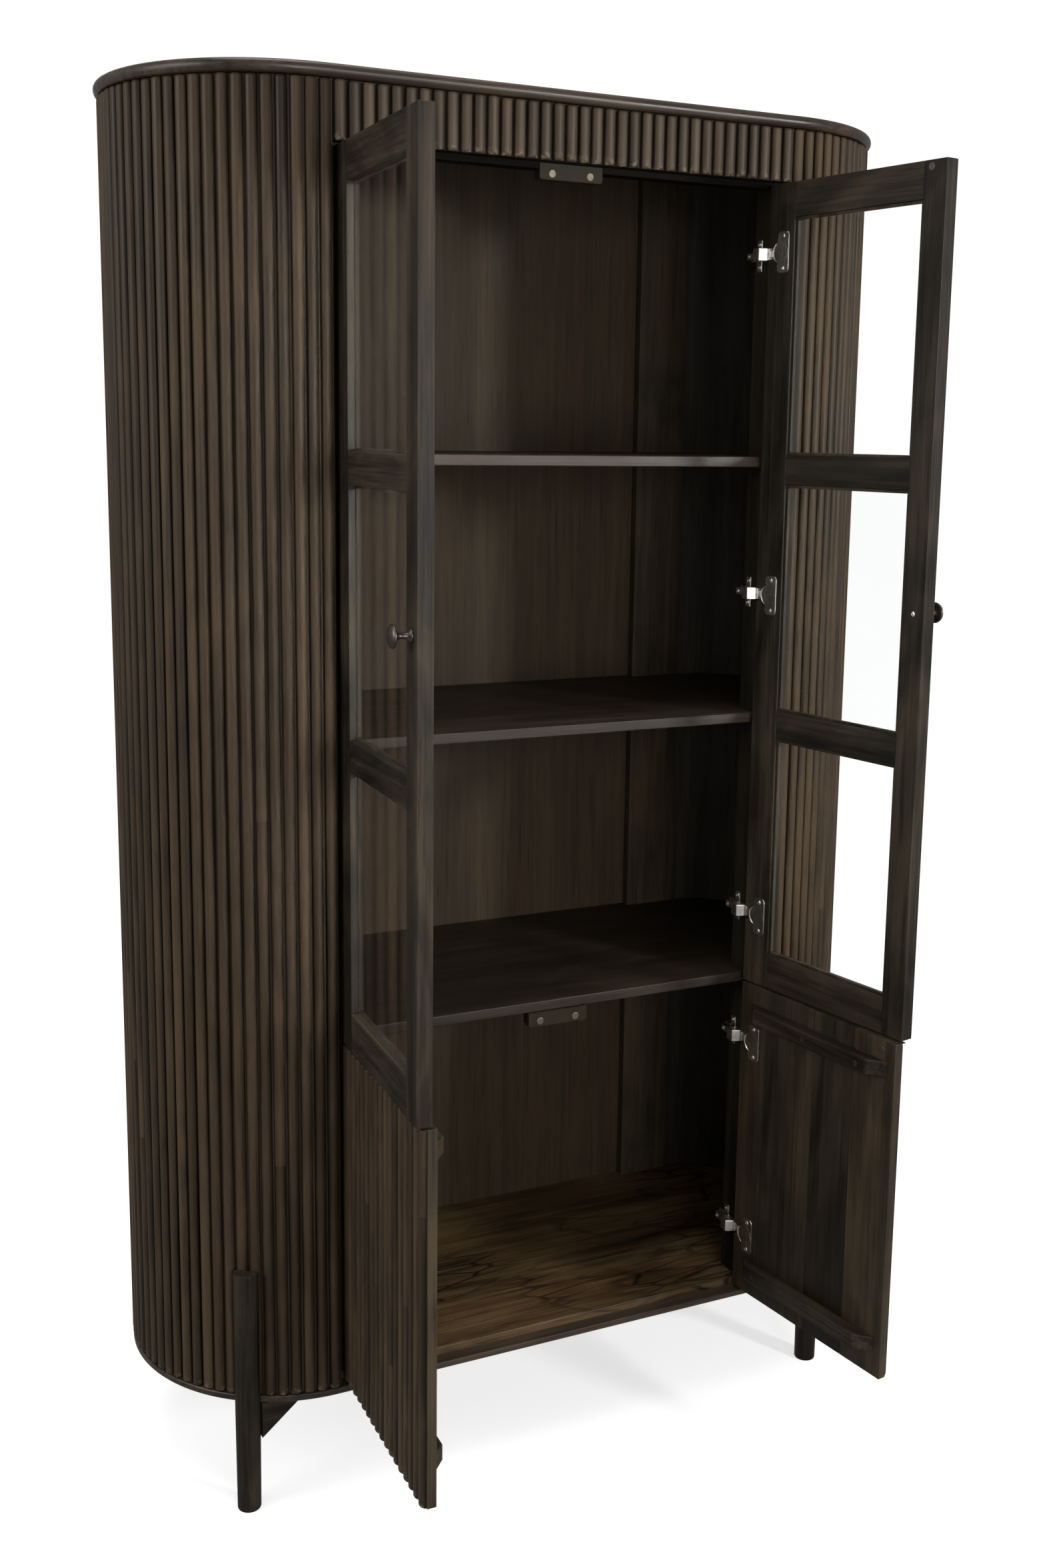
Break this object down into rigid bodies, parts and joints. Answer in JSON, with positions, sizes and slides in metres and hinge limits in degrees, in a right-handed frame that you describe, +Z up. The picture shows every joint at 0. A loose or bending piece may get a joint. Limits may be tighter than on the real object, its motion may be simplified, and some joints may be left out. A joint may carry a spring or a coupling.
{
  "type": "curio cabinet",
  "caption": "Tall round-ended fluted wooden display cabinet on round legs, with glazed upper doors, panelled lower doors and shelves inside.",
  "frame": {"origin": "centre of the outer box's bottom, doors open: on the floor, midway between the left and right ends", "axes": "+Z up, +X to the right seen from the front, +Y from the front to the back"},
  "size_m": [1.236, 0.8206, 2.057],
  "materials": {
    "slat_wood": "satin espresso stain on half-round slats, varying from slat to slat",
    "case_wood": "satin espresso stain",
    "inside_wood": "dull dark brown stain",
    "floor_wood": "worn dark brown stain with lighter patches",
    "clear_glass": "clear",
    "hinge_metal": "bright nickel plate",
    "knob_metal": "dark bronze",
    "catch_brown": "brown, with steel magnet faces"
  },
  "bodies": {
    "cabinet": {"top_panel": "case_wood", "base_panel": "floor_wood", "frieze_panel": "slat_wood", "header_rail": "inside_wood", "back_panel": "inside_wood", "shelf_1": "inside_wood", "shelf_2": "inside_wood", "shelf_3": "inside_wood", "left_end_shell": "slat_wood", "left_hinge_post": "inside_wood", "left_back_stile": "inside_wood", "front_left_leg": "case_wood", "front_left_bracket": "case_wood", "back_left_leg": "case_wood", "back_left_bracket": "case_wood", "right_end_shell": "slat_wood", "right_hinge_post": "inside_wood", "right_back_stile": "inside_wood", "front_right_leg": "case_wood", "front_right_bracket": "case_wood", "back_right_leg": "case_wood", "back_right_bracket": "case_wood", "top_catch_block": "catch_brown", "shelf_catch_block": "catch_brown", "upper_left_hinge_1_arm": "hinge_metal", "upper_left_hinge_2_arm": "hinge_metal", "upper_left_hinge_3_arm": "hinge_metal", "lower_left_hinge_1_arm": "hinge_metal", "lower_left_hinge_2_arm": "hinge_metal", "upper_right_hinge_1_arm": "hinge_metal", "upper_right_hinge_2_arm": "hinge_metal", "upper_right_hinge_3_arm": "hinge_metal", "lower_right_hinge_1_arm": "hinge_metal", "lower_right_hinge_2_arm": "hinge_metal"},
    "upper_left_door": {"upper_left_door_frame": "case_wood", "upper_left_door_glass_1": "clear_glass", "upper_left_door_glass_2": "clear_glass", "upper_left_door_glass_3": "clear_glass", "upper_left_door_knob": "knob_metal", "upper_left_hinge_1_cup": "hinge_metal", "upper_left_hinge_2_cup": "hinge_metal", "upper_left_hinge_3_cup": "hinge_metal"},
    "lower_left_door": {"lower_left_door_panel": "slat_wood", "lower_left_door_top_batten": "case_wood", "lower_left_door_foot_batten": "case_wood", "lower_left_hinge_1_cup": "hinge_metal", "lower_left_hinge_2_cup": "hinge_metal"},
    "upper_right_door": {"upper_right_door_frame": "case_wood", "upper_right_door_glass_1": "clear_glass", "upper_right_door_glass_2": "clear_glass", "upper_right_door_glass_3": "clear_glass", "upper_right_door_knob": "knob_metal", "upper_right_hinge_1_cup": "hinge_metal", "upper_right_hinge_2_cup": "hinge_metal", "upper_right_hinge_3_cup": "hinge_metal"},
    "lower_right_door": {"lower_right_door_panel": "slat_wood", "lower_right_door_top_batten": "case_wood", "lower_right_door_foot_batten": "case_wood", "lower_right_hinge_1_cup": "hinge_metal", "lower_right_hinge_2_cup": "hinge_metal"}
  },
  "joints": [
    {"name": "upper_left_door_hinge", "type": "hinge", "parent": "cabinet", "child": "upper_left_door", "pos_m": [-0.338, -0.07222, 1], "axis": [0, 0, -1], "range_deg": [-92.3, 12.7]},
    {"name": "lower_left_door_hinge", "type": "hinge", "parent": "cabinet", "child": "lower_left_door", "pos_m": [-0.338, -0.07222, 0.45], "axis": [0, 0, -1], "range_deg": [-91.1, 13.9]},
    {"name": "upper_right_door_hinge", "type": "hinge", "parent": "cabinet", "child": "upper_right_door", "pos_m": [0.338, -0.07222, 1], "axis": [0, 0, 1], "range_deg": [-100.4, 4.6]},
    {"name": "lower_right_door_hinge", "type": "hinge", "parent": "cabinet", "child": "lower_right_door", "pos_m": [0.338, -0.07222, 0.45], "axis": [0, 0, 1], "range_deg": [-98.5, 6.5]}
  ]
}
